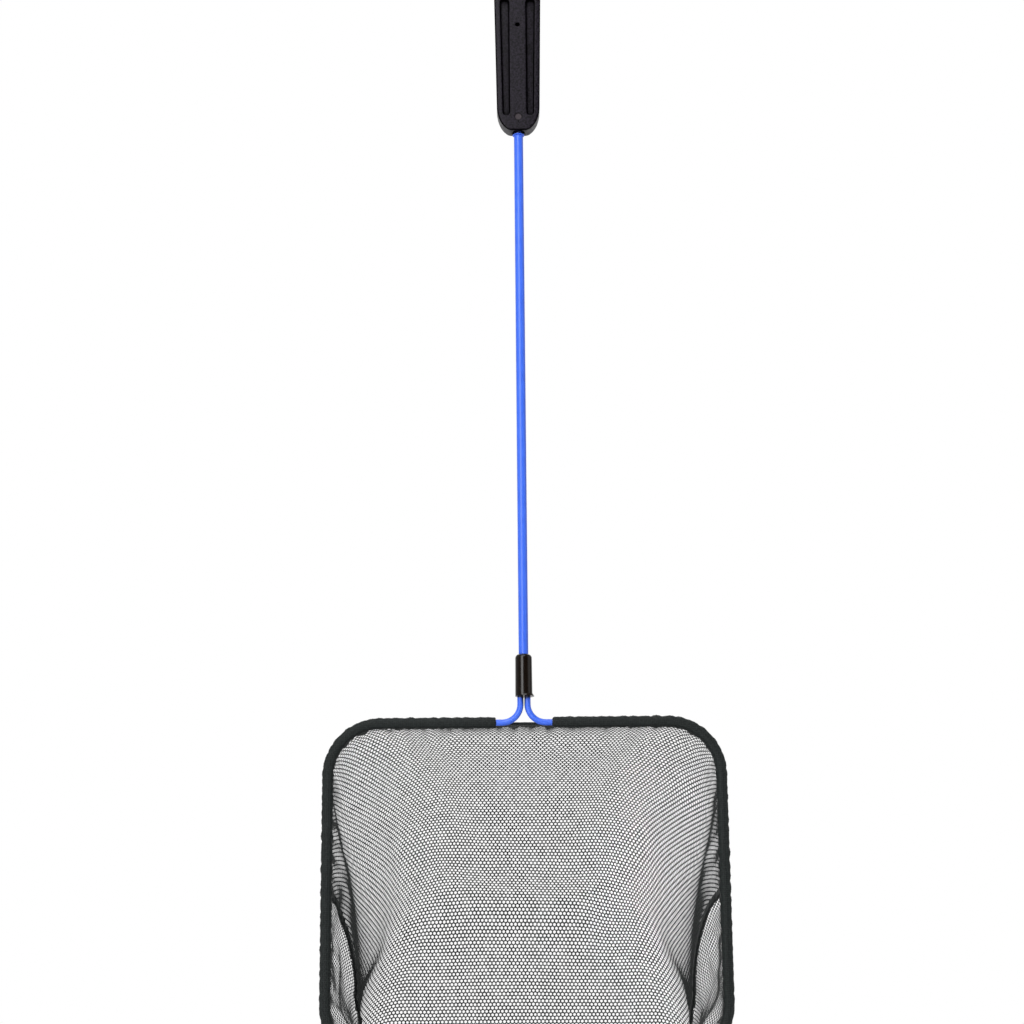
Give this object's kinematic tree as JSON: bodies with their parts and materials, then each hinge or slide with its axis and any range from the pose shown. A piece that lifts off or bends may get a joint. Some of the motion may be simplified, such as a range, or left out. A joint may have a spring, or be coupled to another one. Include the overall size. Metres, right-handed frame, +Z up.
{
  "type": "aquarium fish net",
  "caption": "Hand net for an aquarium: a moulded grip on a coated rod, a collar, and a rectangular wire loop that carries a dark mesh bag.",
  "frame": {"origin": "centre of the hanging hole, midway between the grip's front and back faces", "axes": "+Z up along the rod with the grip on top, +Y from the net's mouth back into its bag and along the hanging hole, +X to the right as seen from the mouth side"},
  "size_m": [0.1538, 0.1043, 0.458],
  "materials": {
    "grip_plastic": "finely textured moulded black plastic",
    "steel": "drawn steel wire, covered by its coating",
    "blue_coating": "smooth blue plastic coating",
    "collar_plastic": "glossy black plastic",
    "hem_cloth": "folded dark cloth with two rows of stitches",
    "netting": "fine open netting of dark nylon thread with six-sided holes",
    "seam_tape": "sewn dark tape"
  },
  "bodies": {
    "root": {"grip": "grip_plastic", "rod_core": "steel", "rod_coating": "blue_coating", "collar": "collar_plastic", "frame_core": "steel", "frame_coating": "blue_coating", "hem_band": "hem_cloth", "net_upper_panel": "netting", "net_lower_panel": "netting", "side_seam_left": "seam_tape", "side_seam_right": "seam_tape", "end_seam": "seam_tape"}
  },
  "joints": []
}
